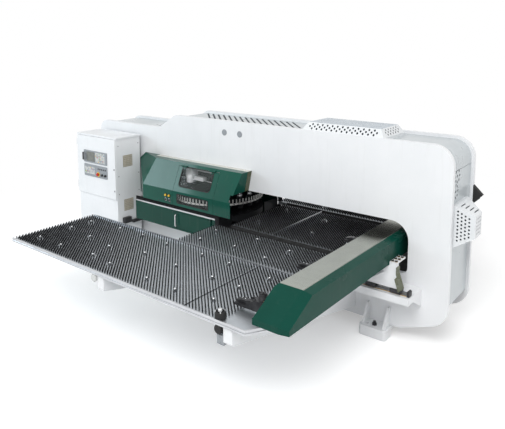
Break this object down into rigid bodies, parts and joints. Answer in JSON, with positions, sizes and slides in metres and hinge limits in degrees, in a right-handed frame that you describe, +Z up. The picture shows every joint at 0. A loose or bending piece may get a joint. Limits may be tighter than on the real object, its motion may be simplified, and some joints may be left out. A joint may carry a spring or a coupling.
{
  "type": "cnc_turret_punching_machine",
  "caption": "CNC turret punching machine with a closed frame, green turret hood, control cabinet, brush tables and a travelling beam with sheet clamps",
  "frame": {"origin": "centre of the bounding box on the floor plane", "axes": "+X along the frame to the beam end, +Y from the operator to the rear, +Z up"},
  "size_m": [5.516, 4.825, 2.14],
  "materials": {
    "white_paint": "glossy white enamel",
    "green_paint": "glossy dark green enamel",
    "cover_paint": "blue-grey enamel",
    "guard_paint": "white enamel on pierced sheet",
    "olive_paint": "olive enamel",
    "table_metal": "satin sheet",
    "brush": "black nylon bristle",
    "rail_steel": "ground steel",
    "bright_steel": "bright steel",
    "bright_aluminium": "drawn profile",
    "black_steel": "blackened steel",
    "black_rubber": "black rubber",
    "black_plastic": "black plastic",
    "panel_grey": "grey panel",
    "yellow_plastic": "yellow plastic",
    "red_plastic": "red plastic",
    "screen_glass": "dark screen",
    "window_glass": "clear pane"
  },
  "bodies": {
    "frame": {"front_plate": "white_paint", "rear_plate": "white_paint", "throat_lining": "white_paint", "left_cover": "cover_paint", "top_grille": "cover_paint", "top_cover": "cover_paint", "end_cover": "cover_paint", "top_guard": "guard_paint", "end_guard": "guard_paint", "rear_cowl": "black_rubber", "hole_plugs": "black_rubber", "foot_brackets": "white_paint", "levelling_feet": "black_steel", "rail_shelves": "white_paint", "rails": "rail_steel", "support_arms": "white_paint", "side_tables": "table_metal", "throat_table": "table_metal", "side_table_brushes": "brush", "throat_table_brushes": "brush", "hood_shell": "green_paint", "button_bezels": "black_plastic", "base_shell": "green_paint", "bristle_strip": "brush", "ram_housing": "white_paint", "cabinet_body": "white_paint"},
    "beam": {"beam_girder": "white_paint", "beam_cover": "green_paint", "saddles": "white_paint", "saddle_shields": "olive_paint", "bearing_blocks": "black_steel", "wings": "table_metal", "wing_rails": "bright_aluminium", "wing_brushes": "brush"},
    "cross_slide": {"cross_slide": "black_steel", "clamp_bodies": "black_steel"},
    "front_jaw": {"front_jaw": "black_steel"},
    "middle_jaw": {"middle_jaw": "black_steel"},
    "rear_jaw": {"rear_jaw": "black_steel"},
    "upper_turret": {"upper_turret": "rail_steel"},
    "lower_turret": {"lower_turret": "rail_steel"},
    "ram": {"ram": "bright_steel"},
    "hood_door": {"hood_door": "green_paint", "upper_window": "window_glass", "lower_window": "window_glass"},
    "left_button": {"left_button": "yellow_plastic"},
    "right_button": {"right_button": "yellow_plastic"},
    "base_door": {"base_door": "green_paint", "door_handle": "bright_steel"},
    "cabinet_door": {"cabinet_door": "white_paint", "panel_bezels": "panel_grey", "screen": "screen_glass", "keypads": "black_plastic"},
    "stop_button": {"stop_button": "red_plastic"},
    "feed_knob": {"feed_knob": "black_plastic"},
    "speed_knob": {"speed_knob": "black_plastic"},
    "front_right_roller": {"front_right_roller": "black_rubber"},
    "front_left_roller": {"front_left_roller": "black_rubber"},
    "rear_right_roller": {"rear_right_roller": "black_rubber"},
    "rear_left_roller": {"rear_left_roller": "black_rubber"}
  },
  "joints": [
    {"name": "beam_travel", "type": "slide", "parent": "frame", "child": "beam", "axis": [1, 0, 0], "range_m": [-1.2, 0]},
    {"name": "cross_travel", "type": "slide", "parent": "beam", "child": "cross_slide", "axis": [0, 1, 0], "range_m": [0, 2.38]},
    {"name": "front_clamping", "type": "hinge", "parent": "cross_slide", "child": "front_jaw", "pos_m": [1.555, -2.1195, 0.911], "axis": [0, 1, 0], "range_deg": [-2, 10]},
    {"name": "middle_clamping", "type": "hinge", "parent": "cross_slide", "child": "middle_jaw", "pos_m": [1.555, -1.1895, 0.911], "axis": [0, 1, 0], "range_deg": [-2, 10]},
    {"name": "rear_clamping", "type": "hinge", "parent": "cross_slide", "child": "rear_jaw", "pos_m": [1.555, -0.2595, 0.911], "axis": [0, 1, 0], "range_deg": [-2, 10]},
    {"name": "upper_turret_turn", "type": "hinge", "parent": "frame", "child": "upper_turret", "pos_m": [-0.688, 0, 1], "axis": [0, 0, 1], "continuous": true},
    {"name": "lower_turret_turn", "type": "hinge", "parent": "frame", "child": "lower_turret", "pos_m": [-0.688, 0, 0.8], "axis": [0, 0, 1], "continuous": true},
    {"name": "ram_stroke", "type": "slide", "parent": "frame", "child": "ram", "axis": [0, 0, 1], "range_m": [-0.038, 0]},
    {"name": "hood_lift", "type": "hinge", "parent": "frame", "child": "hood_door", "pos_m": [-0.5375, -0.54931, 1.44775], "axis": [-1, 0, 0], "range_deg": [0, 75]},
    {"name": "left_press", "type": "slide", "parent": "frame", "child": "left_button", "axis": [0, 1, 0], "range_m": [0, 0.0035], "stiffness_N_per_m": 400},
    {"name": "right_press", "type": "slide", "parent": "frame", "child": "right_button", "axis": [0, 1, 0], "range_m": [0, 0.0035], "stiffness_N_per_m": 400},
    {"name": "base_door_swing", "type": "hinge", "parent": "frame", "child": "base_door", "pos_m": [-0.246, -0.6568, 0.753], "axis": [0, 0, 1], "range_deg": [0, 75]},
    {"name": "cabinet_door_swing", "type": "hinge", "parent": "frame", "child": "cabinet_door", "pos_m": [-2.6703, -0.8188, 1.27], "axis": [0, 0, -1], "range_deg": [0, 95]},
    {"name": "stop_press", "type": "slide", "parent": "cabinet_door", "child": "stop_button", "axis": [0, 1, 0], "range_m": [0, 0.006], "stiffness_N_per_m": 600},
    {"name": "feed_turn", "type": "hinge", "parent": "cabinet_door", "child": "feed_knob", "pos_m": [-2.09, -0.8388, 1.19], "axis": [0, -1, 0], "range_deg": [-135, 135]},
    {"name": "speed_turn", "type": "hinge", "parent": "cabinet_door", "child": "speed_knob", "pos_m": [-2.02, -0.8388, 1.19], "axis": [0, -1, 0], "range_deg": [-135, 135]},
    {"name": "front_right_roll", "type": "hinge", "parent": "frame", "child": "front_right_roller", "pos_m": [1.428, -2.3255, 0.7577], "axis": [0, 1, 0], "continuous": true},
    {"name": "front_left_roll", "type": "hinge", "parent": "frame", "child": "front_left_roller", "pos_m": [-0.177, -2.3255, 0.7577], "axis": [0, 1, 0], "continuous": true},
    {"name": "rear_right_roll", "type": "hinge", "parent": "frame", "child": "rear_right_roller", "pos_m": [1.428, 2.3255, 0.7577], "axis": [0, 1, 0], "continuous": true},
    {"name": "rear_left_roll", "type": "hinge", "parent": "frame", "child": "rear_left_roller", "pos_m": [-0.177, 2.3255, 0.7577], "axis": [0, 1, 0], "continuous": true}
  ],
  "couplings": [
    {"joint": "lower_turret_turn", "follows": "upper_turret_turn", "ratio": 1},
    {"joint": "front_right_roll", "follows": "beam_travel", "rad_per_m": 25},
    {"joint": "front_left_roll", "follows": "beam_travel", "rad_per_m": 25},
    {"joint": "rear_right_roll", "follows": "beam_travel", "rad_per_m": 25},
    {"joint": "rear_left_roll", "follows": "beam_travel", "rad_per_m": 25}
  ]
}
